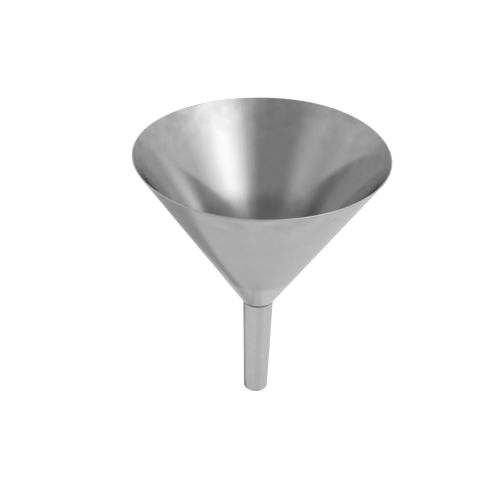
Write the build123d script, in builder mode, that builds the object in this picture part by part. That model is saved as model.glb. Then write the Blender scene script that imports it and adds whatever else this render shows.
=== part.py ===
from build123d import *
import os
from math import cos, radians, sin, tan

# Metal funnel: a cone rolled from sheet, its mouth edge dressed round, with a
# tapered sheet stem whose upper end plugs into the cone's throat.  The cone and
# the stem are each closed by a ground butt weld, and one weld inside the throat
# joins them.  Millimetres, +Z up the axis, origin at the centre of the outlet.

# ---- Driving dimensions -------------------------------------------------------
mouth_radius = 75.0          # outermost point of the mouth's rounded edge
cone_half_angle = 32.0       # cone wall to axis, degrees
cone_sheet = 0.8             # thickness of the cone's sheet

stem_length = 72.5           # outlet to the cone's lower cut edge
stem_sheet = 0.8             # thickness of the stem's sheet
stem_top_radius = 9.6        # outside of the stem at the cone's lower edge
outlet_radius = 7.8          # outside of the stem at the outlet
stem_plug = 2.5              # stem hidden in the throat, above the cut edge

edge_break = 0.15            # rounding left by deburring the stem's square-cut end
toe_round = 0.6              # rounding of the cone's lower outer corner

cone_seam_width = 1.6        # ground butt weld down the cone
stem_seam_width = 1.6        # ground butt weld down the stem
seam_overrun = 5.0           # how far a seam slot is cut past the metal

throat_weld_root = 0.8       # bottom of the throat weld above the cut edge
throat_weld_rise = 1.6       # its toe on the cone wall above the stem's end
throat_weld_crown = 0.25     # bulge of its face above a straight chamfer

# ---- Clearance ----------------------------------------------------------------
throat_clearance = 0.02      # stem to cone, radial, at the cut edge

# ---- Derived places -----------------------------------------------------------
half_angle = radians(cone_half_angle)
cone_slope = tan(half_angle)
stem_slope = (stem_top_radius - outlet_radius) / stem_length
stem_top = stem_length + stem_plug

cut_edge_inner = stem_top_radius + throat_clearance
cut_edge_outer = cut_edge_inner + cone_sheet / cos(half_angle)
cut_edge_middle = (cut_edge_inner + cut_edge_outer) / 2

round_edge = cone_sheet / 2
mouth_round_radius = mouth_radius - round_edge
mouth_round_height = stem_length + (mouth_round_radius - cut_edge_middle) / cone_slope
overall_height = mouth_round_height + round_edge

up_wall_r = sin(half_angle)
up_wall_z = cos(half_angle)


def cone_bore(height):
    """Inside radius of the cone's wall at a height."""
    return cut_edge_inner + (height - stem_length) * cone_slope


def stem_outside(height):
    """Outside radius of the stem at a height."""
    return outlet_radius + height * stem_slope


def stem_bore(height):
    """Inside radius of the stem at a height."""
    return stem_outside(height) - stem_sheet


def seam_slot(width):
    """Plan of a slot cut down one side of a wall, towards +Y."""
    reach = mouth_radius + seam_overrun
    with BuildSketch(Plane.XY) as slot:
        with Locations((0, reach / 2)):
            Rectangle(width, reach)
    return slot.sketch


# ---- Wall sections, drawn in the XZ plane -------------------------------------
with BuildSketch(Plane.XZ) as cone_section:
    with BuildLine():
        inner_toe = (cut_edge_inner, stem_length)
        outer_toe = (cut_edge_outer, stem_length)
        outer_lip = (
            mouth_round_radius + round_edge * up_wall_z,
            mouth_round_height - round_edge * up_wall_r,
        )
        lip_crest = (
            mouth_round_radius + round_edge * up_wall_r,
            mouth_round_height + round_edge * up_wall_z,
        )
        inner_lip = (
            mouth_round_radius - round_edge * up_wall_z,
            mouth_round_height + round_edge * up_wall_r,
        )
        Polyline(inner_lip, inner_toe, outer_toe, outer_lip)
        ThreePointArc(outer_lip, lip_crest, inner_lip)
    make_face()
    outer_toe_corner = cone_section.vertices().group_by(Axis.Z)[0].sort_by(Axis.X)[-1]
    fillet(outer_toe_corner, radius=toe_round)

with BuildSketch(Plane.XZ) as stem_section:
    with BuildLine():
        Polyline(
            (stem_bore(0), 0),
            (stem_outside(0), 0),
            (stem_outside(stem_top), stem_top),
            (stem_bore(stem_top), stem_top),
            close=True,
        )
    make_face()
    fillet(stem_section.vertices().group_by(Axis.Z)[0], radius=edge_break)

with BuildSketch(Plane.XZ) as throat_weld_section:
    with BuildLine():
        root_height = stem_length + throat_weld_root
        toe_height = stem_top + throat_weld_rise
        bore_lip = (stem_bore(stem_top), stem_top)
        wall_toe = (cone_bore(toe_height), toe_height)
        face_width = wall_toe[0] - bore_lip[0]
        face_height = wall_toe[1] - bore_lip[1]
        face_length = (face_width**2 + face_height**2) ** 0.5
        face_crest = (
            (bore_lip[0] + wall_toe[0]) / 2 - throat_weld_crown * face_height / face_length,
            (bore_lip[1] + wall_toe[1]) / 2 + throat_weld_crown * face_width / face_length,
        )
        Polyline(
            bore_lip,
            (stem_outside(stem_top), stem_top),
            (stem_outside(root_height), root_height),
            (cone_bore(root_height), root_height),
            wall_toe,
        )
        ThreePointArc(wall_toe, face_crest, bore_lip)
    make_face()

# ---- Pieces -------------------------------------------------------------------
cone_slot = seam_slot(cone_seam_width)
stem_slot = seam_slot(stem_seam_width)
slot_height = overall_height + seam_overrun

with BuildPart() as cone:
    revolve(cone_section.sketch, axis=Axis.Z)
    extrude(cone_slot, amount=slot_height, mode=Mode.SUBTRACT)

with BuildPart() as cone_seam_weld:
    revolve(cone_section.sketch, axis=Axis.Z)
    extrude(cone_slot, amount=slot_height, mode=Mode.INTERSECT)

with BuildPart() as stem:
    revolve(stem_section.sketch, axis=Axis.Z)
    extrude(stem_slot, amount=slot_height, mode=Mode.SUBTRACT)

with BuildPart() as stem_seam_weld:
    revolve(stem_section.sketch, axis=Axis.Z)
    extrude(stem_slot, amount=slot_height, mode=Mode.INTERSECT)

with BuildPart() as throat_weld:
    revolve(throat_weld_section.sketch, axis=Axis.Z)

# ---- Labels and files ---------------------------------------------------------
cone.part.label = "cone"
cone_seam_weld.part.label = "cone_seam_weld"
stem.part.label = "stem"
stem_seam_weld.part.label = "stem_seam_weld"
throat_weld.part.label = "throat_weld"

os.makedirs("parts", exist_ok=True)
export_step(cone.part, "parts/cone.step")
export_step(cone_seam_weld.part, "parts/cone_seam_weld.step")
export_step(stem.part, "parts/stem.step")
export_step(stem_seam_weld.part, "parts/stem_seam_weld.step")
export_step(throat_weld.part, "parts/throat_weld.step")

print(f"overall height {overall_height:.2f}, mouth diameter {2 * mouth_radius:.1f}")
print(f"cone lower edge outside diameter {2 * cut_edge_outer:.2f}, outlet bore {2 * stem_bore(0):.1f}")
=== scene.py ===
"""Looks of a satin steel funnel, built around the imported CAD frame.

Everything is in metres in the frame's own axes: +Z runs up the funnel's axis from the
outlet, and both welded seams face +Y.  The sheet pieces are lathed by one Geometry
Nodes tree from wall sections worked out here, and each finish is a node material that
reads Object coordinates and the wall's own attributes.
"""

import logging
import math
from dataclasses import dataclass, replace
from enum import Enum
from typing import Union

import bpy
from mathutils import Matrix, Vector


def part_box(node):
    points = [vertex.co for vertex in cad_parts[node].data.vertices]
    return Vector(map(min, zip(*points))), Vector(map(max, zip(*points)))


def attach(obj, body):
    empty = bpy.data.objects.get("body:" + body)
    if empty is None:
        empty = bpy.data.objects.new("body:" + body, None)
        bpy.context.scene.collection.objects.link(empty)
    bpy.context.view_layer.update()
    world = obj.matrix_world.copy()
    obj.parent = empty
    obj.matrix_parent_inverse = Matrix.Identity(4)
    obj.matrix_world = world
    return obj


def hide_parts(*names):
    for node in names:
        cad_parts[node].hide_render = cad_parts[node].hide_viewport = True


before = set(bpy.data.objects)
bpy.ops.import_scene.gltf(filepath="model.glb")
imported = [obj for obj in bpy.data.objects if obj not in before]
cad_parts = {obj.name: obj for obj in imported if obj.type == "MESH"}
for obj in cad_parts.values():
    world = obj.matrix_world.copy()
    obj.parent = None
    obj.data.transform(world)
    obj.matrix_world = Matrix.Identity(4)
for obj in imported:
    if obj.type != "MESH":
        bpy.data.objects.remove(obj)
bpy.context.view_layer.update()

log = logging.getLogger("funnel")

MM = 0.001
BODY = "root"

Number = Union[float, int, "Signal"]
Point = tuple[float, float]


# ---------------------------------------------------------------------------------
# Node graphs
# ---------------------------------------------------------------------------------
class Signal:
    """One value socket of a graph, usable in arithmetic."""

    def __init__(self, graph: "Graph", socket: bpy.types.NodeSocket) -> None:
        """Wraps a socket.

        Args:
            graph: the graph that the socket belongs to.
            socket: an output socket that carries a number.
        """
        self.graph = graph
        self.socket = socket

    def __add__(self, other: Number) -> "Signal":
        """Adds."""
        return self.graph.math("ADD", self, other)

    def __radd__(self, other: Number) -> "Signal":
        """Adds, with the signal on the right."""
        return self.graph.math("ADD", other, self)

    def __sub__(self, other: Number) -> "Signal":
        """Subtracts."""
        return self.graph.math("SUBTRACT", self, other)

    def __rsub__(self, other: Number) -> "Signal":
        """Subtracts the signal from a number."""
        return self.graph.math("SUBTRACT", other, self)

    def __mul__(self, other: Number) -> "Signal":
        """Multiplies."""
        return self.graph.math("MULTIPLY", self, other)

    def __rmul__(self, other: Number) -> "Signal":
        """Multiplies, with the signal on the right."""
        return self.graph.math("MULTIPLY", other, self)

    def __truediv__(self, other: Number) -> "Signal":
        """Divides."""
        return self.graph.math("DIVIDE", self, other)

    def __rtruediv__(self, other: Number) -> "Signal":
        """Divides a number by the signal."""
        return self.graph.math("DIVIDE", other, self)

    def __pow__(self, other: Number) -> "Signal":
        """Raises to a power."""
        return self.graph.math("POWER", self, other)

    def __neg__(self) -> "Signal":
        """Turns the sign."""
        return self.graph.math("MULTIPLY", self, -1.0)


class Graph:
    """Adds nodes to one shader or geometry node tree."""

    def __init__(self, tree: bpy.types.NodeTree) -> None:
        """Wraps a node tree.

        Args:
            tree: the tree that nodes are added to.
        """
        self.tree = tree

    def node(self, kind: str, settings: dict | None = None, inputs: dict | None = None) -> bpy.types.Node:
        """Adds one node.

        Args:
            kind: the node's type.
            settings: the node's own properties, which are set first.
            inputs: values, sockets or signals, by socket name or number.

        Returns:
            The new node.
        """
        node = self.tree.nodes.new(kind)
        for name, value in (settings or {}).items():
            setattr(node, name, value)
        for name, value in (inputs or {}).items():
            self.feed(node.inputs[name], value)
        return node

    def feed(self, target: bpy.types.NodeSocket, value: object) -> None:
        """Links a socket or signal into a socket, or sets its value.

        Args:
            target: the socket to fill.
            value: a signal, an output socket or a plain value.
        """
        if isinstance(value, Signal):
            self.tree.links.new(value.socket, target)
        elif isinstance(value, bpy.types.NodeSocket):
            self.tree.links.new(value, target)
        else:
            target.default_value = value

    def signal(self, socket: bpy.types.NodeSocket) -> Signal:
        """Wraps a socket of this graph."""
        return Signal(self, socket)

    def math(self, operation: str, *values: Number, clamp: bool = False) -> Signal:
        """Adds a Math node.

        Args:
            operation: the Math node's operation.
            values: its inputs, in order.
            clamp: keeps the result between 0 and 1.

        Returns:
            The node's result.
        """
        node = self.node("ShaderNodeMath", {"operation": operation, "use_clamp": clamp})
        for target, value in zip(node.inputs, values):
            self.feed(target, value)
        return self.signal(node.outputs[0])

    def vector_math(self, operation: str, *values: object) -> bpy.types.Node:
        """Adds a Vector Math node.

        Args:
            operation: the node's operation.
            values: its vector inputs, in order.

        Returns:
            The node, whose Vector or Value output is read.
        """
        node = self.node("ShaderNodeVectorMath", {"operation": operation})
        for target, value in zip(node.inputs, values):
            self.feed(target, value)
        return node

    def vector(self, x: Number, y: Number, z: Number) -> bpy.types.NodeSocket:
        """Joins three numbers into a vector socket."""
        return self.node("ShaderNodeCombineXYZ", inputs={0: x, 1: y, 2: z}).outputs[0]

    def parts(self, vector: bpy.types.NodeSocket) -> tuple[Signal, Signal, Signal]:
        """Splits a vector socket into its three numbers."""
        split = self.node("ShaderNodeSeparateXYZ", inputs={0: vector})
        return self.signal(split.outputs[0]), self.signal(split.outputs[1]), self.signal(split.outputs[2])

    def ramp(self, value: Number, low: float, high: float, start: Number = 0.0, end: Number = 1.0) -> Signal:
        """Eases a value from start to end as it goes from low to high.

        Args:
            value: the value to read.
            low: where the result is still start.
            high: where the result has become end.
            start: the result at low and before.
            end: the result at high and after.

        Returns:
            The eased value.
        """
        node = self.node(
            "ShaderNodeMapRange",
            {"interpolation_type": "SMOOTHSTEP"},
            {"Value": value, "From Min": low, "From Max": high, "To Min": start, "To Max": end},
        )
        return self.signal(node.outputs["Result"])

    def noise(
        self, vector: bpy.types.NodeSocket, scale: float, detail: float = 2.0, rough: float = 0.5
    ) -> Signal:
        """Adds a noise texture centred on zero.

        Args:
            vector: where the noise is read.
            scale: how many features it has in one unit.
            detail: its octaves.
            rough: how strong the fine octaves are.

        Returns:
            Noise from about -0.5 to 0.5.
        """
        node = self.node(
            "ShaderNodeTexNoise",
            {"noise_dimensions": "3D", "normalize": True},
            {"Vector": vector, "Scale": scale, "Detail": detail, "Roughness": rough},
        )
        return self.signal(node.outputs[0]) - 0.5


# ---------------------------------------------------------------------------------
# Wall sections
# ---------------------------------------------------------------------------------
class Side(Enum):
    """Which face of a wall a section point is on."""

    INSIDE = 1.0
    EDGE = 0.5
    OUTSIDE = 0.0


class Section:
    """A closed wall section in the (radius, height) plane."""

    def __init__(self, start: Point) -> None:
        """Starts the outline.

        Args:
            start: the first point, in metres.
        """
        self.points: list[Point] = [start]
        self.sides: list[float] = [Side.EDGE.value]

    def line(self, end: Point, step: float, side: Side, lead: float = 0.06 * MM) -> "Section":
        """Goes straight to a point.

        Args:
            end: where the line ends.
            step: the longest stretch between two points on it.
            side: which face of the wall the line is.
            lead: a short first and last stretch, which keeps the rounding beside it tight.

        Returns:
            The section.
        """
        start = self.points[-1]
        length = math.dist(start, end)
        count = max(1, math.ceil(length / step))
        shares = [i / count for i in range(1, count + 1)]
        if length > 4 * lead:
            shares = sorted({lead / length, 1 - lead / length, *shares})
        for share in shares:
            across = start[0] + (end[0] - start[0]) * share
            up = start[1] + (end[1] - start[1]) * share
            self.points.append((across, up))
            self.sides.append(side.value)
        return self

    def arc(
        self, centre: Point, radius: float, start: float, end: float, steps: int, sides: tuple[Side, Side]
    ) -> "Section":
        """Goes round part of a circle.

        Args:
            centre: the circle's centre.
            radius: its radius.
            start: the angle to start from, in radians from the radius axis.
            end: the angle to end at.
            steps: the number of straight steps.
            sides: the faces of the wall that the arc leaves and reaches.

        Returns:
            The section.
        """
        for i in range(1, steps + 1):
            share = i / steps
            angle = start + (end - start) * share
            self.points.append((centre[0] + radius * math.cos(angle), centre[1] + radius * math.sin(angle)))
            self.sides.append(sides[0].value * (1 - share) + sides[1].value * share)
        return self

    def mesh(self, name: str) -> bpy.types.Mesh:
        """Makes the closed outline as a loop of edges, with its wall side and outward direction.

        Args:
            name: the mesh's name.

        Returns:
            A mesh of edges in the XZ plane, with a wall_side and an outward attribute.
        """
        points, sides = self.points, self.sides
        if math.dist(points[0], points[-1]) < 1e-9:
            points, sides = points[:-1], sides[:-1]
        count = len(points)
        edges = [(i, (i + 1) % count) for i in range(count)]
        mesh = bpy.data.meshes.new(name)
        mesh.from_pydata([(r, 0.0, z) for r, z in points], edges, [])
        mesh.attributes.new("wall_side", "FLOAT", "POINT").data.foreach_set("value", sides)
        outward = []
        for i in range(count):
            before, after = points[i - 1], points[(i + 1) % count]
            along = Vector((after[0] - before[0], 0.0, after[1] - before[1])).normalized()
            outward += [along.z, 0.0, -along.x]
        mesh.attributes.new("outward", "FLOAT_VECTOR", "POINT").data.foreach_set("vector", outward)
        return mesh


# ---------------------------------------------------------------------------------
# Rolled walls
# ---------------------------------------------------------------------------------
class Closing(Enum):
    """How a wall goes round the axis: turns made, and which side of the seam slot it stays on."""

    SHEET = (1.0, 1.0)
    BEAD = (0.0, -1.0)
    RING = (1.0, 0.0)


@dataclass(frozen=True)
class Lobe:
    """One out-of-round wave of a rolled wall's mouth."""

    count: float
    height: float
    azimuth: float


@dataclass(frozen=True)
class Rolling:
    """How one section is rolled into a wall.  Lengths in metres, angles in degrees."""

    closing: Closing
    segments: int
    slot_width: float = 0.0
    foot: float = 0.0
    mouth: float = 1.0
    lobes: tuple[Lobe, Lobe] = (Lobe(3.0, 0.0, 0.0), Lobe(4.0, 0.0, 0.0))
    wave_height: float = 0.0
    wave_size: float = 0.03
    wave_seed: float = 0.0
    bead_crown: float = 0.0
    ripple_height: float = 0.0
    ripple_count: float = 1.0
    crease_angle: float = 32.0

    def inputs(self) -> dict[str, object]:
        """Gives the tree's named inputs for these sizes.

        Returns:
            The value of each named input.
        """
        values: dict[str, object] = {
            "Ring": self.closing is Closing.RING,
            "Segments": self.segments,
            "Turns": self.closing.value[0],
            "Slot Side": self.closing.value[1],
            "Slot Half Width": self.slot_width / 2,
            "Foot Height": self.foot,
            "Mouth Height": self.mouth,
            "Wave Height": self.wave_height,
            "Wave Scale": 1.0 / self.wave_size,
            "Wave Seed": self.wave_seed,
            "Bead Crown": self.bead_crown,
            "Ripple Height": self.ripple_height,
            "Ripple Count": self.ripple_count,
            "Crease Angle": math.radians(self.crease_angle),
        }
        for number, lobe in enumerate(self.lobes, 1):
            values[f"Lobe {number} Count"] = lobe.count
            values[f"Lobe {number} Height"] = lobe.height
            values[f"Lobe {number} Azimuth"] = math.radians(lobe.azimuth)
        return values


class WallLathe:
    """Rolls wall sections round the axis with one Geometry Nodes tree."""

    FLOATS = (
        "Turns", "Slot Side", "Slot Half Width", "Foot Height", "Mouth Height",
        "Lobe 1 Count", "Lobe 1 Height", "Lobe 1 Azimuth",
        "Lobe 2 Count", "Lobe 2 Height", "Lobe 2 Azimuth",
        "Wave Height", "Wave Scale", "Wave Seed", "Bead Crown",
        "Ripple Height", "Ripple Count", "Crease Angle",
    )

    def __init__(self) -> None:
        """Builds the tree and keeps the identifiers of its inputs."""
        self.tree = bpy.data.node_groups.new("rolled_wall", "GeometryNodeTree")
        face = self.tree.interface
        face.new_socket("Geometry", in_out="INPUT", socket_type="NodeSocketGeometry")
        face.new_socket("Ring", in_out="INPUT", socket_type="NodeSocketBool")
        face.new_socket("Segments", in_out="INPUT", socket_type="NodeSocketInt")
        for name in self.FLOATS:
            face.new_socket(name, in_out="INPUT", socket_type="NodeSocketFloat")
        face.new_socket("Finish", in_out="INPUT", socket_type="NodeSocketMaterial")
        face.new_socket("Geometry", in_out="OUTPUT", socket_type="NodeSocketGeometry")
        self.names = {item.name: item.identifier for item in face.items_tree if item.in_out == "INPUT"}
        self._build()

    def _build(self) -> None:
        """Adds the tree's nodes."""
        graph = Graph(self.tree)
        given = graph.node("NodeGroupInput").outputs

        def size(name: str) -> Signal:
            """Reads one of the tree's number inputs."""
            return graph.signal(given[name])

        # The path only counts the way round, so a straight line or a plain circle will do.
        line = graph.node("GeometryNodeCurvePrimitiveLine", inputs={"End": (1.0, 0.0, 0.0)})
        steps = graph.node(
            "GeometryNodeResampleCurve",
            inputs={"Curve": line.outputs[0], "Count": size("Segments") + 1.0},
        )
        circle = graph.node("GeometryNodeCurvePrimitiveCircle", inputs={"Resolution": given["Segments"]})
        path = graph.node(
            "GeometryNodeSwitch",
            {"input_type": "GEOMETRY"},
            {"Switch": given["Ring"], "False": steps.outputs[0], "True": circle.outputs["Curve"]},
        )
        share = graph.node("GeometryNodeSplineParameter").outputs["Factor"]
        counted = graph.node(
            "GeometryNodeStoreNamedAttribute",
            {"data_type": "FLOAT", "domain": "POINT"},
            {"Geometry": path.outputs[0], "Name": "way_round", "Value": share},
        )

        # The section keeps its own place as an attribute, which the skin carries along.
        place = graph.node("GeometryNodeInputPosition").outputs[0]
        outline = graph.node(
            "GeometryNodeStoreNamedAttribute",
            {"data_type": "FLOAT_VECTOR", "domain": "POINT"},
            {"Geometry": given["Geometry"], "Name": "section_place", "Value": place},
        )
        profile = graph.node("GeometryNodeMeshToCurve", inputs={"Mesh": outline.outputs[0]})
        skin = graph.node(
            "GeometryNodeCurveToMesh",
            inputs={"Curve": counted.outputs[0], "Profile Curve": profile.outputs[0], "Fill Caps": True},
        )

        def read(name: str, kind: str) -> bpy.types.NodeSocket:
            """Reads an attribute of the skin."""
            node = graph.node("GeometryNodeInputNamedAttribute", {"data_type": kind}, {"Name": name})
            return node.outputs["Attribute"]

        radius, _, height = graph.parts(read("section_place", "FLOAT_VECTOR"))
        out_radius, _, out_height = graph.parts(read("outward", "FLOAT_VECTOR"))
        way = graph.signal(read("way_round", "FLOAT"))
        side = graph.signal(read("wall_side", "FLOAT"))

        slot_angle = graph.math("ARCSINE", size("Slot Half Width") / radius)
        angle = size("Slot Side") * slot_angle * (1.0 - 2.0 * way) + size("Turns") * math.tau * way
        azimuth = angle + math.pi / 2

        # Out of round: the lobes grow from nothing at the foot to their full height at the mouth.
        grown = (height - size("Foot Height")) / (size("Mouth Height") - size("Foot Height"))
        grown = graph.math("MAXIMUM", grown, 0.0) ** 1.3
        bend: Signal = grown * 0.0
        for number in (1, 2):
            turn = size(f"Lobe {number} Count") * (azimuth - size(f"Lobe {number} Azimuth"))
            bend = bend + size(f"Lobe {number} Height") * graph.math("COSINE", turn)
        east, north = graph.math("COSINE", azimuth), graph.math("SINE", azimuth)
        even = graph.vector(east * radius, north * radius, height * 0.6)
        swell = graph.node(
            "ShaderNodeTexNoise",
            {"noise_dimensions": "4D", "normalize": True},
            {
                "Vector": even,
                "W": size("Wave Seed"),
                "Scale": size("Wave Scale"),
                "Detail": 1.5,
                "Roughness": 0.4,
            },
        )
        wave = (graph.signal(swell.outputs[0]) - 0.5) * 2.0 * size("Wave Height")
        moved = radius + bend * grown + wave * graph.math("MINIMUM", grown * 6.0, 1.0)

        # A bead stands proud along its middle, and a run of weld pools ripples along its face.
        across = 2.0 * way - 1.0
        crown = size("Bead Crown") * (1.0 - across * across)
        pools = graph.math("ABSOLUTE", graph.math("SINE", way * size("Ripple Count") * math.pi))
        pooled = size("Ripple Height") * (1.0 - graph.math("SQRT", pools)) * graph.ramp(side, 0.9, 1.0)
        proud = crown - pooled
        final_radius = moved + proud * out_radius
        placed = graph.vector(east * final_radius, north * final_radius, height + proud * out_height)
        rolled = graph.node(
            "GeometryNodeSetPosition", inputs={"Geometry": skin.outputs[0], "Position": placed}
        )

        smooth = graph.node(
            "GeometryNodeSetShadeSmooth",
            {"domain": "FACE"},
            {"Geometry": rolled.outputs[0], "Shade Smooth": True},
        )
        fold = graph.signal(graph.node("GeometryNodeInputMeshEdgeAngle").outputs["Unsigned Angle"])
        sharp = graph.math("GREATER_THAN", fold, size("Crease Angle"))
        creased = graph.node(
            "GeometryNodeSetShadeSmooth",
            {"domain": "EDGE"},
            {"Geometry": smooth.outputs[0], "Selection": sharp, "Shade Smooth": False},
        )
        real = graph.node("GeometryNodeRealizeInstances", inputs={"Geometry": creased.outputs[0]})
        dressed = graph.node(
            "GeometryNodeSetMaterial", inputs={"Geometry": real.outputs[0], "Material": given["Finish"]}
        )
        graph.node("NodeGroupOutput", inputs={"Geometry": dressed.outputs[0]})

    def roll(
        self, name: str, section: Section, rolling: Rolling, finish: bpy.types.Material
    ) -> bpy.types.Object:
        """Rolls one section into a wall.

        Args:
            name: the piece's name.
            section: the wall's closed section.
            rolling: how it is rolled.
            finish: the wall's material.

        Returns:
            An object at the origin with a plain mesh.
        """
        outline = section.mesh(name + "_outline")
        former = bpy.data.objects.new(name + "_former", outline)
        bpy.context.scene.collection.objects.link(former)
        modifier = former.modifiers.new("rolled_wall", "NODES")
        modifier.node_group = self.tree
        for label, value in {**rolling.inputs(), "Finish": finish}.items():
            modifier[self.names[label]] = value
        graph = bpy.context.evaluated_depsgraph_get()
        mesh = bpy.data.meshes.new_from_object(former.evaluated_get(graph), depsgraph=graph)
        mesh.name = name
        bpy.data.objects.remove(former)
        bpy.data.meshes.remove(outline)
        piece = bpy.data.objects.new(name, mesh)
        bpy.context.scene.collection.objects.link(piece)
        if signed_volume(mesh) < 0:
            mesh.flip_normals()
        return piece


def signed_volume(mesh: bpy.types.Mesh) -> float:
    """Measures a closed mesh, which comes out negative if its faces point inwards.

    Args:
        mesh: the mesh to measure.

    Returns:
        Its volume in cubic metres.
    """
    mesh.calc_loop_triangles()
    total = 0.0
    for triangle in mesh.loop_triangles:
        a, b, c = (mesh.vertices[i].co for i in triangle.vertices)
        total += a.dot(b.cross(c))
    return total / 6.0


# ---------------------------------------------------------------------------------
# Finishes
# ---------------------------------------------------------------------------------
Colour = tuple[float, float, float]


def shade(tone: Colour, factor: float = 1.0) -> tuple[float, float, float, float]:
    """Scales a colour and gives it an alpha of one."""
    return (tone[0] * factor, tone[1] * factor, tone[2] * factor, 1.0)


class SteelShader:
    """A metal material in the making: its coordinates, its colour and its relief."""

    def __init__(self, name: str) -> None:
        """Starts the material.

        Args:
            name: the material's name.
        """
        self.material = bpy.data.materials.new(name)
        self.material.use_nodes = True
        self.material.node_tree.nodes.clear()
        self.graph = Graph(self.material.node_tree)
        graph = self.graph
        self.place = graph.node("ShaderNodeTexCoord").outputs["Object"]
        self.x, self.y, self.z = graph.parts(self.place)
        self.radius = graph.math("SQRT", self.x * self.x + self.y * self.y)
        self.east, self.north = self.x / self.radius, self.y / self.radius
        attribute = graph.node(
            "ShaderNodeAttribute", {"attribute_type": "GEOMETRY", "attribute_name": "wall_side"}
        )
        self.side = graph.signal(attribute.outputs["Fac"])

    def round_about(self, reach: float, climb: float) -> bpy.types.NodeSocket:
        """Gives coordinates that run round the axis and up it.

        Args:
            reach: how far one turn of the axis goes, as a radius in metres.
            climb: how much the height counts.

        Returns:
            A vector socket.
        """
        return self.graph.vector(self.east * reach, self.north * reach, self.z * climb)

    def mix(self, factor: Number, first: object, second: object) -> bpy.types.NodeSocket:
        """Mixes two colours.

        Args:
            factor: how much of the second there is.
            first: a colour or a colour socket.
            second: a colour or a colour socket.

        Returns:
            The mixed colour's socket.
        """
        settings = {"data_type": "RGBA", "clamp_factor": True}
        node = self.graph.node("ShaderNodeMix", settings, {0: factor, 6: first, 7: second})
        return node.outputs[2]

    def finish(self, colour: bpy.types.NodeSocket, roughness: Signal, relief: Signal) -> bpy.types.Material:
        """Joins the parts in a metal shader.

        Args:
            colour: the base colour.
            roughness: the roughness.
            relief: the height of the surface's fine relief, in metres.

        Returns:
            The finished material.
        """
        graph = self.graph
        bump = graph.node("ShaderNodeBump", inputs={"Strength": 1.0, "Distance": 1.0, "Height": relief})
        metal = graph.node(
            "ShaderNodeBsdfPrincipled",
            inputs={
                "Base Color": colour,
                "Metallic": 1.0,
                "Roughness": graph.math("ADD", roughness, 0.0, clamp=True),
                "Normal": bump.outputs[0],
            },
        )
        graph.node("ShaderNodeOutputMaterial", inputs={"Surface": metal.outputs[0]})
        return self.material


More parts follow.
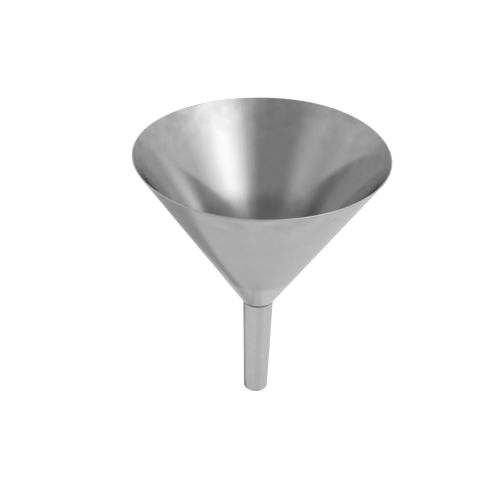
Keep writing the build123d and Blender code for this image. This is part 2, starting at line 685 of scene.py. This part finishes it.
@dataclass(frozen=True)
class SheetFinish:
    """Rolled satin sheet: mottled, faintly streaked along the bend lines, ground beside the seam."""

    name: str
    tone: Colour = (0.600, 0.602, 0.600)
    roughness: float = 0.12
    mottle: float = 0.20
    mottle_size: float = 22 * MM
    patch_share: float = 3.4
    streak: float = 0.05
    streak_width: float = 1.6 * MM
    reach: float = 40 * MM
    grain_size: float = 0.35 * MM
    grain_height: float = 0.0009 * MM
    hair_size: float = 1.5 * MM
    scuff_size: float = 31 * MM
    scratch_depth: float = 0.0025 * MM
    ground_half_width: float = 3.4 * MM
    ground_tone: float = 0.975
    ground_marks: float = 0.16
    mark_width: float = 0.28 * MM
    mark_height: float = 0.0010 * MM
    # Painted highlight on the dressed edges:
    edge_highlight_tone: float = 1.25
    mouth: float = 0.176
    weld_height: float = 0.075
    tint: Colour = (0.56, 0.50, 0.40)
    tint_reach: float = 5.0 * MM
    joint_height: float = 0.0725
    # Painted crevice shade, with some residue, under the cone's edge:
    residue_and_shade_tone: float = 0.16
    residue_and_shade_below: float = 2.0 * MM
    residue_and_shade_above: float = 0.45 * MM
    # Painted light on the outside of the cone's foot:
    foot_light_height: float = 24 * MM
    foot_light_edge: float = 3.5 * MM
    foot_light_gain: float = 0.24
    # Painted shade towards the bottom of the bowl's inside:
    deep_shade_top: float = 58 * MM
    deep_shade_full: float = 44 * MM
    deep_shade_tone: float = 0.62
    dull_roughness: float = 0.06
    unpolished_full: float = 12 * MM
    unpolished_top: float = 24 * MM
    unpolished_roughness: float = 0.30
    lip_line_top: float = 0.5 * MM
    lip_line_foot: float = 1.7 * MM
    lip_line_depth: float = 0.16
    handled_height: float = 0.152
    handled_rise: float = 18 * MM
    handled_size: float = 13 * MM
    handled_gain: float = 0.36
    rim_haze: float = 0.14
    rim_haze_depth: float = 14 * MM
    # Painted reflection: a darker band on the side facing the viewpoint.
    reflection_band_azimuth: float = -89.0
    reflection_band_half_width: float = 20.0
    reflection_band_depth: float = 0.0

    def material(self) -> bpy.types.Material:
        """Builds the material.

        Returns:
            The finished material.
        """
        steel = SteelShader(self.name)
        graph = steel.graph
        even = steel.round_about(self.reach, 1.0)

        cloud = graph.noise(steel.place, 1.0 / self.mottle_size, 3.0, 0.55)
        patch = graph.noise(steel.place, self.patch_share / self.mottle_size, 2.0, 0.5)
        along = graph.noise(steel.round_about(self.reach, 0.03), 1.0 / self.streak_width, 3.0, 0.6)
        broad = graph.noise(steel.round_about(self.reach, 0.05), 0.22 / self.streak_width, 2.0, 0.5)
        grain = graph.noise(even, 1.0 / self.grain_size, 2.0, 0.6)

        # Hair scratches: thin lines of a stretched noise, present only in a few patches.
        hair = graph.noise(graph.vector(steel.x * 0.12, steel.y, steel.z), 1.0 / self.hair_size, 1.0, 0.4)
        hair = graph.ramp(graph.math("ABSOLUTE", hair), 0.0, 0.010, 1.0, 0.0)
        scuffed = graph.ramp(graph.noise(steel.place, 1.0 / self.scuff_size, 1.0, 0.4), 0.10, 0.24)
        scratch = hair * scuffed

        # Beside the weld the sheet was ground flush, with marks that cross the seam.
        off_seam = graph.math("ABSOLUTE", steel.x)
        fade = 1.0 + 0.5 * cloud
        ground = graph.ramp(off_seam * fade, self.ground_half_width * 0.45, self.ground_half_width, 1.0, 0.0)
        ground = ground * graph.math("GREATER_THAN", steel.y, 0.0)
        cross = graph.noise(graph.vector(steel.x * 0.05, 0.0, steel.z), 1.0 / self.mark_width, 2.0, 0.7)

        # Heat from the throat weld left a faint straw colour either side of it.
        from_weld = graph.math("ABSOLUTE", steel.z - self.weld_height)
        heat = graph.ramp(from_weld, 0.8 * MM, self.tint_reach, 1.0, 0.0)
        heat = heat * graph.ramp(steel.side, 0.9, 1.0) * (0.55 + 0.9 * patch)

        # The dressed edges (the rim lip, the toe and the outlet's edge) are polished a little smoother, and
        # their colour is raised as a painted highlight along the rim lip.
        dressed = graph.ramp(graph.math("ABSOLUTE", steel.side - 0.5), 0.30, 0.48, 1.0, 0.0)

        # Painted shade: the stem just under the cone's edge and the edge's rounded toe are darkened like a
        # crevice in shade, with some polishing residue, heaviest on the -Y side that faces the viewpoint.
        from_joint = steel.z - self.joint_height
        near = graph.ramp(from_joint, -self.residue_and_shade_below, -0.6 * self.residue_and_shade_below)
        near = near * graph.ramp(from_joint, 0.4 * self.residue_and_shade_above, self.residue_and_shade_above, 1.0, 0.0)
        uneven = 0.66 - 0.34 * (steel.north + 0.15 * steel.east) + 0.6 * patch
        near = near * graph.ramp(steel.side, 0.2, 0.6, 1.0, 0.0)
        residue_and_crevice_shade = graph.math("MULTIPLY", near, uneven, clamp=True)

        # The cone's foot was buffed brighter when the joint was cleaned up.
        # Painted light: the outside of the cone's foot is made brighter, standing in for a lighter reflection
        # where the stem and its shadow on the floor are mirrored; the band is also made rougher.
        foot_light_start = self.foot_light_height - self.foot_light_edge
        foot_light_band = graph.ramp(from_joint + 6 * MM * patch, foot_light_start, self.foot_light_height, 1.0, 0.0)
        foot_light_band = foot_light_band * graph.math("GREATER_THAN", from_joint, 0.0)
        foot_light_band = foot_light_band * graph.ramp(steel.side, 0.1, 0.4, 1.0, 0.0)

        # Painted shade: the inside of the bowl is darkened towards its bottom, and the same mask makes it a
        # little rougher.
        deep = graph.ramp(from_joint + 5 * MM * patch, self.deep_shade_full, self.deep_shade_top, 1.0, 0.0)
        deep = deep * graph.ramp(steel.side, 0.8, 1.0)

        # Handling left cloudy marks round the mouth.
        handled_top = self.handled_height + self.handled_rise
        handled = graph.ramp(steel.z + 20 * MM * broad, self.handled_height, handled_top)
        marks = graph.noise(steel.place, 1.0 / self.handled_size, 2.0, 0.45) + 0.5 * patch

        # Painted reflection: a soft darker band runs the length of the wall on the side facing the viewpoint
        # (-Y), standing in for the dark camera side mirrored there.
        facing = steel.east * math.cos(math.radians(self.reflection_band_azimuth))
        facing = facing + steel.north * math.sin(math.radians(self.reflection_band_azimuth))
        painted_reflection_band = graph.ramp(facing, math.cos(math.radians(self.reflection_band_half_width)), 1.0) * (1.0 + cloud)

        # A thin darker line runs just below the mouth edge on the outside.
        below = self.mouth - steel.z
        lip_line = graph.ramp(below, 0.6 * self.lip_line_top, self.lip_line_top)
        lip_line = lip_line * graph.ramp(below, 0.8 * self.lip_line_foot, self.lip_line_foot, 1.0, 0.0)
        lip_line = lip_line * graph.ramp(steel.side, 0.02, 0.3, 1.0, 0.0) * (1.0 + 1.5 * patch)

        level = 1.0 + self.mottle * (cloud + 0.5 * patch) + self.streak * (along + broad)
        level = level + 0.05 * grain - 0.05 * scratch
        level = level + ground * (self.ground_tone - 1.0 + self.ground_marks * cross)
        # The painted darker reflection band is taken off the colour here.
        level = level + handled * marks * self.handled_gain - painted_reflection_band * self.reflection_band_depth
        level = level - lip_line * self.lip_line_depth
        # Painted highlight on the dressed edges lifts the colour here.
        # Painted light on the cone's foot lifts the colour here.
        level = level + dressed * (self.edge_highlight_tone - 1.0) + foot_light_band * self.foot_light_gain
        # Painted shade in the crevice under the cone's edge, with some residue, darkens the colour here.
        # Painted shade towards the bottom of the bowl darkens the colour here too.
        level = level * (1.0 - residue_and_crevice_shade * (1.0 - self.residue_and_shade_tone)) * (1.0 - deep * (1.0 - self.deep_shade_tone))
        colour = steel.mix(heat, shade(self.tone), shade(self.tint))
        colour = graph.vector_math("MULTIPLY", colour, graph.vector(level, level, level)).outputs[0]

        roughness = self.roughness + 0.10 * cloud + 0.06 * patch
        roughness = roughness + 0.05 * broad + 0.04 * along + 0.05 * grain
        roughness = roughness + self.dull_roughness * deep
        # The top of the bowl's inside is a little hazier than the rest.
        haze = graph.ramp(below, 0.0, self.rim_haze_depth, 1.0, 0.0) * graph.ramp(steel.side, 0.6, 0.9)
        roughness = roughness + self.rim_haze * haze
        # No wheel reaches the bottom of the bowl, so it keeps the rougher skin of the rolled sheet.
        unpolished = graph.ramp(from_joint, self.unpolished_full, self.unpolished_top, 1.0, 0.0)
        unpolished = unpolished * graph.ramp(steel.side, 0.6, 0.9)
        roughness = roughness + self.unpolished_roughness * unpolished
        roughness = roughness + 0.06 * ground + 0.08 * scratch - 0.03 * dressed
        roughness = roughness + 0.10 * foot_light_band + 0.25 * residue_and_crevice_shade

        relief = self.grain_height * (grain + 0.6 * along)
        relief = relief - self.scratch_depth * scratch + ground * cross * self.mark_height
        return steel.finish(colour, roughness, relief)


@dataclass(frozen=True)
class WeldFinish:
    """Weld metal left as it was laid: rippled, pitted and heat-coloured."""

    name: str
    tone: Colour = (0.575, 0.574, 0.568)
    roughness: float = 0.24
    mark_width: float = 0.22 * MM
    mark_height: float = 0.0015 * MM
    throat_height: float = 0.073
    throat_top: float = 0.0768
    tint: Colour = (0.46, 0.40, 0.31)
    pit_size: float = 0.7 * MM
    pit_depth: float = 0.004 * MM
    cloud_size: float = 4 * MM
    cloud_height: float = 0.002 * MM

    def material(self) -> bpy.types.Material:
        """Builds the material.

        Returns:
            The finished material.
        """
        steel = SteelShader(self.name)
        graph = steel.graph
        cross = graph.noise(graph.vector(steel.x * 0.05, 0.0, steel.z), 1.0 / self.mark_width, 3.0, 0.7)
        cloud = graph.noise(steel.place, 1.0 / self.cloud_size, 3.0, 0.6)
        pits = graph.noise(steel.place, 1.0 / self.pit_size, 2.0, 0.6)
        pit = graph.ramp(pits, 0.16, 0.26)

        in_throat = graph.math("LESS_THAN", steel.z, self.throat_top)
        in_throat = in_throat * graph.math("GREATER_THAN", steel.z, self.throat_height)
        in_throat = in_throat * graph.math("GREATER_THAN", steel.side, 0.7)
        level = 1.0 + 0.22 * cross + 0.16 * cloud - 0.20 * pit
        colour = steel.mix(in_throat * (0.7 + 0.8 * cloud), shade(self.tone), shade(self.tint))
        colour = graph.vector_math("MULTIPLY", colour, graph.vector(level, level, level)).outputs[0]
        roughness = self.roughness + 0.18 * cross + 0.12 * cloud + 0.10 * pit
        relief = self.mark_height * cross + self.cloud_height * cloud - self.pit_depth * pit
        return steel.finish(colour, roughness, relief)


# ---------------------------------------------------------------------------------
# Pieces
# ---------------------------------------------------------------------------------
@dataclass(frozen=True)
class Sizes:
    """The funnel's sizes in metres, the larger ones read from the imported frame."""

    mouth_radius: float
    mouth_height: float
    cone_foot: float
    stem_top: float
    weld_toe_height: float
    weld_root_height: float
    cone_slot: float
    stem_slot: float
    half_angle: float = math.radians(32.0)
    cone_sheet: float = 0.8 * MM
    stem_sheet: float = 0.8 * MM
    outlet_radius: float = 7.8 * MM
    stem_top_radius: float = 9.6 * MM
    clearance: float = 0.02 * MM
    toe_round: float = 0.6 * MM
    edge_break: float = 0.15 * MM
    weld_crown: float = 0.25 * MM

    @classmethod
    def from_frame(cls) -> "Sizes":
        """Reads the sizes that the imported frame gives.

        Returns:
            The funnel's sizes.
        """
        cone_low, cone_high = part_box("cone")
        weld_low, weld_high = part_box("throat_weld")
        seam_low, seam_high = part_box("cone_seam_weld")
        stem_seam_low, stem_seam_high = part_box("stem_seam_weld")
        return cls(
            mouth_radius=(cone_high[0] - cone_low[0]) / 2,
            mouth_height=cone_high[2],
            cone_foot=cone_low[2],
            stem_top=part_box("stem")[1][2],
            weld_toe_height=weld_high[2],
            weld_root_height=weld_low[2],
            cone_slot=seam_high[0] - seam_low[0],
            stem_slot=stem_seam_high[0] - stem_seam_low[0],
        )

    def cone_bore(self, height: float) -> float:
        """Inside radius of the cone's wall at a height."""
        return self.stem_top_radius + self.clearance + (height - self.cone_foot) * math.tan(self.half_angle)

    def stem_outside(self, height: float) -> float:
        """Outside radius of the stem at a height."""
        return self.outlet_radius + height * (self.stem_top_radius - self.outlet_radius) / self.cone_foot

    def stem_bore(self, height: float) -> float:
        """Inside radius of the stem at a height."""
        return self.stem_outside(height) - self.stem_sheet


def place_piece(piece: bpy.types.Object, node: str, slot: str) -> None:
    """Puts a piece on the body in place of its CAD node.

    Args:
        piece: the finished piece.
        node: the CAD node that it stands for.
        slot: the name of the CAD node's material slot, which is only logged.
    """
    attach(piece, BODY)
    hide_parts(node)
    log.info("%s: %d faces, for node %s, slot %s", piece.name, len(piece.data.polygons), node, slot)


@dataclass
class Cone:
    """The rolled cone with its dressed mouth edge and its butt weld."""

    sizes: Sizes
    lathe: WallLathe
    sheet_finish: SheetFinish
    weld_finish: SheetFinish
    step: float = 1.7 * MM
    segments: int = 320
    bead_segments: int = 6
    lobes: tuple[Lobe, Lobe] = (Lobe(3.0, 0.3 * MM, 45.0), Lobe(4.0, 0.4 * MM, -35.0))
    wave_height: float = 0.08 * MM
    wave_size: float = 34 * MM
    bead_crown: float = 0.006 * MM

    def section(self) -> Section:
        """Draws the wall: down the inside, along the cut edge, up the outside and round the mouth edge.

        Returns:
            The cone wall's closed outline.
        """
        s = self.sizes
        lean, half = s.half_angle, s.cone_sheet / 2
        lip = (s.mouth_radius - half, s.mouth_height - half)
        inner_toe = (s.cone_bore(s.cone_foot), s.cone_foot)
        outer_toe = (inner_toe[0] + s.cone_sheet / math.cos(lean), s.cone_foot)
        inner_lip = (lip[0] - half * math.cos(lean), lip[1] + half * math.sin(lean))
        outer_lip = (lip[0] + half * math.cos(lean), lip[1] - half * math.sin(lean))
        reach = s.toe_round * math.tan((math.pi / 2 - lean) / 2)
        toe_start = (outer_toe[0] - reach, s.cone_foot)
        toe_centre = (toe_start[0], s.cone_foot + s.toe_round)
        return (
            Section(inner_lip)
            .line(inner_toe, self.step, Side.INSIDE)
            .line(toe_start, self.step, Side.EDGE)
            .arc(toe_centre, s.toe_round, -math.pi / 2, -lean, 6, (Side.EDGE, Side.OUTSIDE))
            .line(outer_lip, self.step, Side.OUTSIDE)
            .arc(lip, half, -lean, math.pi - lean, 12, (Side.OUTSIDE, Side.INSIDE))
        )

    def build(self) -> None:
        """Rolls the sheet and lays the weld in its slot."""
        s = self.sizes
        shared = dict(
            slot_width=s.cone_slot,
            foot=s.cone_foot,
            mouth=s.mouth_height,
            lobes=self.lobes,
            wave_height=self.wave_height,
            wave_size=self.wave_size,
            wave_seed=3.0,
        )
        sheet = Rolling(Closing.SHEET, self.segments, **shared)
        bead = Rolling(Closing.BEAD, self.bead_segments, bead_crown=self.bead_crown, **shared)
        wall = self.lathe.roll("rolled_cone", self.section(), sheet, self.sheet_finish.material())
        weld = self.lathe.roll("cone_butt_weld", self.section(), bead, self.weld_finish.material())
        place_piece(wall, "cone", "cone_sheet")
        place_piece(weld, "cone_seam_weld", "ground_weld")


@dataclass
class Stem:
    """The tapered stem with its butt weld."""

    sizes: Sizes
    lathe: WallLathe
    sheet_finish: SheetFinish
    weld_finish: SheetFinish
    step: float = 1.5 * MM
    segments: int = 128
    bead_segments: int = 6
    lobes: tuple[Lobe, Lobe] = (Lobe(3.0, 0.0, 0.0), Lobe(2.0, 0.03 * MM, 20.0))
    wave_height: float = 0.012 * MM
    wave_size: float = 12 * MM
    bead_crown: float = 0.006 * MM

    def section(self) -> Section:
        """Draws the wall: down the inside, round the outlet's edge, up the outside and over the plug.

        Returns:
            The stem wall's closed outline.
        """
        s = self.sizes
        edge = s.edge_break
        inner, outer = s.stem_bore(0.0) + edge, s.stem_outside(0.0) - edge
        top_outer, top_inner = (s.stem_outside(s.stem_top), s.stem_top), (s.stem_bore(s.stem_top), s.stem_top)
        return (
            Section(top_inner)
            .line((inner - edge, edge), self.step, Side.INSIDE)
            .arc((inner, edge), edge, math.pi, 1.5 * math.pi, 4, (Side.INSIDE, Side.EDGE))
            .line((outer, 0.0), self.step, Side.EDGE)
            .arc((outer, edge), edge, -math.pi / 2, 0.0, 4, (Side.EDGE, Side.OUTSIDE))
            .line(top_outer, self.step, Side.OUTSIDE)
            .line(top_inner, self.step, Side.EDGE)
        )

    def build(self) -> None:
        """Rolls the sheet and lays the weld in its slot."""
        s = self.sizes
        shared = dict(
            slot_width=s.stem_slot,
            foot=-10 * MM,
            mouth=s.stem_top,
            lobes=self.lobes,
            wave_height=self.wave_height,
            wave_size=self.wave_size,
            wave_seed=7.0,
        )
        sheet = Rolling(Closing.SHEET, self.segments, **shared)
        bead = Rolling(Closing.BEAD, self.bead_segments, bead_crown=self.bead_crown, **shared)
        wall = self.lathe.roll("rolled_stem", self.section(), sheet, self.sheet_finish.material())
        weld = self.lathe.roll("stem_butt_weld", self.section(), bead, self.weld_finish.material())
        place_piece(wall, "stem", "stem_sheet")
        place_piece(weld, "stem_seam_weld", "ground_weld")


@dataclass
class Throat:
    """The rippled weld that joins the stem to the inside of the cone."""

    sizes: Sizes
    lathe: WallLathe
    finish: WeldFinish
    step: float = 0.5 * MM
    segments: int = 360
    ripple_height: float = 0.09 * MM
    ripple_count: float = 60.0

    def section(self) -> Section:
        """Draws the weld: down the stem, across the root, up the cone and back over its face.

        Returns:
            The weld's closed outline.
        """
        s = self.sizes
        lip = (s.stem_bore(s.stem_top), s.stem_top)
        toe = (s.cone_bore(s.weld_toe_height), s.weld_toe_height)
        chord = math.dist(lip, toe)
        radius = (chord * chord / 4 + s.weld_crown * s.weld_crown) / (2 * s.weld_crown)
        normal = ((lip[1] - toe[1]) / chord, (toe[0] - lip[0]) / chord)
        depth = radius - s.weld_crown
        centre = ((lip[0] + toe[0]) / 2 - normal[0] * depth, (lip[1] + toe[1]) / 2 - normal[1] * depth)
        start = math.atan2(toe[1] - centre[1], toe[0] - centre[0])
        end = math.atan2(lip[1] - centre[1], lip[0] - centre[0])
        return (
            Section(lip)
            .line((s.stem_outside(s.stem_top), s.stem_top), self.step, Side.EDGE)
            .line((s.stem_outside(s.weld_root_height), s.weld_root_height), self.step, Side.OUTSIDE)
            .line((s.cone_bore(s.weld_root_height), s.weld_root_height), self.step, Side.OUTSIDE)
            .line(toe, self.step, Side.OUTSIDE)
            .arc(centre, radius, start, end, 8, (Side.INSIDE, Side.INSIDE))
        )

    def build(self) -> None:
        """Rolls the weld and ripples its face."""
        ring = Rolling(
            Closing.RING,
            self.segments,
            foot=self.sizes.cone_foot,
            mouth=self.sizes.mouth_height,
            ripple_height=self.ripple_height,
            ripple_count=self.ripple_count,
        )
        weld = self.lathe.roll("throat_ring_weld", self.section(), ring, self.finish.material())
        place_piece(weld, "throat_weld", "ground_weld")


# ---------------------------------------------------------------------------------
# Studio
# ---------------------------------------------------------------------------------
@dataclass(frozen=True)
class Panel:
    """A soft-edged panel of light round the object, or a dark card where its strength is below zero.

    Angles are in degrees, with the azimuth counted from the viewer, right positive.
    """

    azimuth: float
    elevation: float
    width: float
    height: float
    fade: float
    strength: float


@dataclass
class Studio:
    """Floor, lights, surroundings and viewpoint, all turned together about the axis."""

    turn: float = math.radians(-9.0)
    ambient: float = 0.30
    least_glow: float = 0.08
    key_panel: Panel = Panel(
        azimuth=47.0, elevation=35.0, width=42.0, height=45.0, fade=42.0, strength=1.30
    )
    overhead: Panel = Panel(
        azimuth=0.0, elevation=75.0, width=150.0, height=20.0, fade=15.0, strength=0.35
    )
    left_fill: Panel = Panel(
        azimuth=-90.0, elevation=30.0, width=90.0, height=50.0, fade=30.0, strength=0.28
    )
    right_fill: Panel = Panel(
        azimuth=110.0, elevation=30.0, width=80.0, height=50.0, fade=30.0, strength=0.40
    )
    rear_wall: Panel = Panel(
        azimuth=180.0, elevation=30.0, width=100.0, height=40.0, fade=30.0, strength=0.30
    )
    viewer_card: Panel = Panel(
        azimuth=-25.0, elevation=10.0, width=130.0, height=30.0, fade=20.0, strength=-0.20
    )
    key_azimuth: float = 59.0
    key_elevation: float = 46.0
    key_distance: float = 1.5
    key_size: tuple[float, float] = (0.18, 0.18)
    key_power: float = 11.5
    floor_radius: float = 4.0
    floor_tone: float = 0.74
    floor_lift: float = 0.92
    floor_glow: float = 1.12
    floor_sides: int = 64
    backdrop: float = 1.1
    aim_height: float = 0.12
    camera_place: tuple[float, float, float] = (0.0, -0.503, 0.441)
    camera_aim: tuple[float, float, float] = (-0.012, 0.0, 0.115)
    camera_roll: float = 0.9
    camera_lens: float = 73.5

    def _turned(self, place: tuple[float, float, float]) -> Vector:
        """Turns a place with the studio."""
        return Matrix.Rotation(self.turn, 4, "Z") @ Vector(place)

    def build(self) -> None:
        """Sets the whole studio up."""
        self._surroundings()
        self._key_light()
        self._floor()
        self._camera()
        scene = bpy.context.scene
        scene.view_settings.view_transform = "Standard"
        scene.view_settings.look = "None"
        log.info("studio ready")

    def _surroundings(self) -> None:
        """Makes the soft surroundings that the steel mirrors."""
        world = bpy.data.worlds.new("studio_surroundings")
        world.use_nodes = True
        world.node_tree.nodes.clear()
        graph = Graph(world.node_tree)
        x, y, z = graph.parts(graph.node("ShaderNodeTexCoord").outputs["Generated"])
        elevation = graph.math("ARCSINE", z) * (180.0 / math.pi)
        glow: Number = self.ambient
        fills = (self.left_fill, self.right_fill, self.rear_wall)
        panels = (self.key_panel, self.overhead, *fills, self.viewer_card)
        for panel in panels:
            ahead = math.radians(panel.azimuth - 90.0) + self.turn
            forward = x * math.cos(ahead) + y * math.sin(ahead)
            aside = y * math.cos(ahead) - x * math.sin(ahead)
            across = graph.math("ABSOLUTE", graph.math("ARCTAN2", aside, forward)) * (180.0 / math.pi)
            up = graph.math("ABSOLUTE", elevation - panel.elevation)
            inner_width, outer_width = (panel.width - panel.fade) / 2, (panel.width + panel.fade) / 2
            inner_height, outer_height = (panel.height - panel.fade) / 2, (panel.height + panel.fade) / 2
            wide = graph.ramp(across, inner_width, outer_width, 1.0, 0.0)
            tall = graph.ramp(up, inner_height, outer_height, 1.0, 0.0)
            glow = wide * tall * panel.strength + glow
        seen = graph.node("ShaderNodeLightPath").outputs["Is Camera Ray"]
        glow = graph.math("MAXIMUM", glow, self.least_glow)
        white = (1.0, 1.0, 1.0, 1.0)
        soft = graph.node("ShaderNodeBackground", inputs={"Color": white, "Strength": glow})
        plain = graph.node("ShaderNodeBackground", inputs={"Color": white, "Strength": self.backdrop})
        both = graph.node("ShaderNodeMixShader", inputs={0: seen, 1: soft.outputs[0], 2: plain.outputs[0]})
        graph.node("ShaderNodeOutputWorld", inputs={"Surface": both.outputs[0]})
        bpy.context.scene.world = world

    def _key_light(self) -> None:
        """Hangs the softbox at the front right."""
        azimuth, elevation = math.radians(self.key_azimuth - 90.0), math.radians(self.key_elevation)
        flat = math.cos(elevation) * self.key_distance
        place = (flat * math.cos(azimuth), flat * math.sin(azimuth), math.sin(elevation) * self.key_distance)
        data = bpy.data.lights.new("key_softbox", "AREA")
        data.shape = "RECTANGLE"
        data.size, data.size_y = self.key_size
        data.energy = self.key_power
        lamp = bpy.data.objects.new("key_softbox", data)
        lamp.location = self._turned(place)
        aim = Vector((0.0, 0.0, self.aim_height)) - lamp.location
        lamp.rotation_mode = "QUATERNION"
        lamp.rotation_quaternion = aim.to_track_quat("-Z", "Y")
        lamp.visible_glossy = False
        bpy.context.scene.collection.objects.link(lamp)

    def _floor(self) -> None:
        """Lays the plain pale floor."""
        turns = [math.tau * i / self.floor_sides for i in range(self.floor_sides)]
        reach = self.floor_radius
        ring = [(reach * math.cos(turn), reach * math.sin(turn), 0.0) for turn in turns]
        mesh = bpy.data.meshes.new("studio_floor")
        mesh.from_pydata(ring, [], [tuple(range(self.floor_sides))])
        floor = bpy.data.objects.new("studio_floor", mesh)
        bpy.context.scene.collection.objects.link(floor)
        material = bpy.data.materials.new("studio_paper")
        material.use_nodes = True
        material.node_tree.nodes.clear()
        graph = Graph(material.node_tree)
        grey = (self.floor_tone, self.floor_tone, self.floor_tone, 1.0)
        paper = graph.node("ShaderNodeBsdfDiffuse", inputs={"Color": grey})
        lit = graph.node(
            "ShaderNodeEmission", inputs={"Color": (1.0, 1.0, 1.0, 1.0), "Strength": self.floor_glow}
        )
        seen = graph.signal(graph.node("ShaderNodeLightPath").outputs["Is Camera Ray"])
        shaders = {0: seen * self.floor_lift, 1: paper.outputs[0], 2: lit.outputs[0]}
        both = graph.node("ShaderNodeMixShader", inputs=shaders)
        graph.node("ShaderNodeOutputMaterial", inputs={"Surface": both.outputs[0]})
        mesh.materials.append(material)

    def _camera(self) -> None:
        """Places the camera."""
        data = bpy.data.cameras.new("viewpoint")
        data.lens = self.camera_lens
        data.sensor_width = 36.0
        data.clip_start, data.clip_end = 0.01, 20.0
        camera = bpy.data.objects.new("viewpoint", data)
        place, aim = self._turned(self.camera_place), self._turned(self.camera_aim)
        look = (aim - place).to_track_quat("-Z", "Y").to_matrix().to_4x4()
        roll = Matrix.Rotation(math.radians(self.camera_roll), 4, "Z")
        camera.matrix_world = Matrix.Translation(place) @ look @ roll
        bpy.context.scene.collection.objects.link(camera)
        bpy.context.scene.camera = camera


# ---------------------------------------------------------------------------------
# Making
# ---------------------------------------------------------------------------------
def main() -> None:
    """Builds the funnel and its studio."""
    logging.basicConfig(level=logging.INFO, format="%(name)s: %(message)s")
    sizes = Sizes.from_frame()
    lathe = WallLathe()
    throat = WeldFinish("throat_weld_metal", throat_top=sizes.weld_toe_height + 0.2 * MM)
    cone_sheet = SheetFinish("satin_cone_sheet", mouth=sizes.mouth_height, weld_height=sizes.stem_top)
    stem_sheet = SheetFinish(
        "satin_stem_sheet",
        tone=(0.700, 0.702, 0.700),
        # The stem carries the painted darker reflection band.
        reflection_band_depth=0.10,
        mouth=sizes.mouth_height,
        weld_height=sizes.stem_top,
        reach=9 * MM,
        mottle_size=9 * MM,
        streak_width=0.7 * MM,
        ground_half_width=2.4 * MM,
    )
    cone_weld = replace(cone_sheet, name="ground_cone_weld", ground_marks=0.45, ground_tone=0.955)
    stem_weld = replace(stem_sheet, name="ground_stem_weld", ground_marks=0.45, ground_tone=0.955)
    Cone(sizes, lathe, cone_sheet, cone_weld).build()
    Stem(sizes, lathe, stem_sheet, stem_weld).build()
    Throat(sizes, lathe, throat).build()
    Studio().build()


if __name__ == "__main__":
    main()
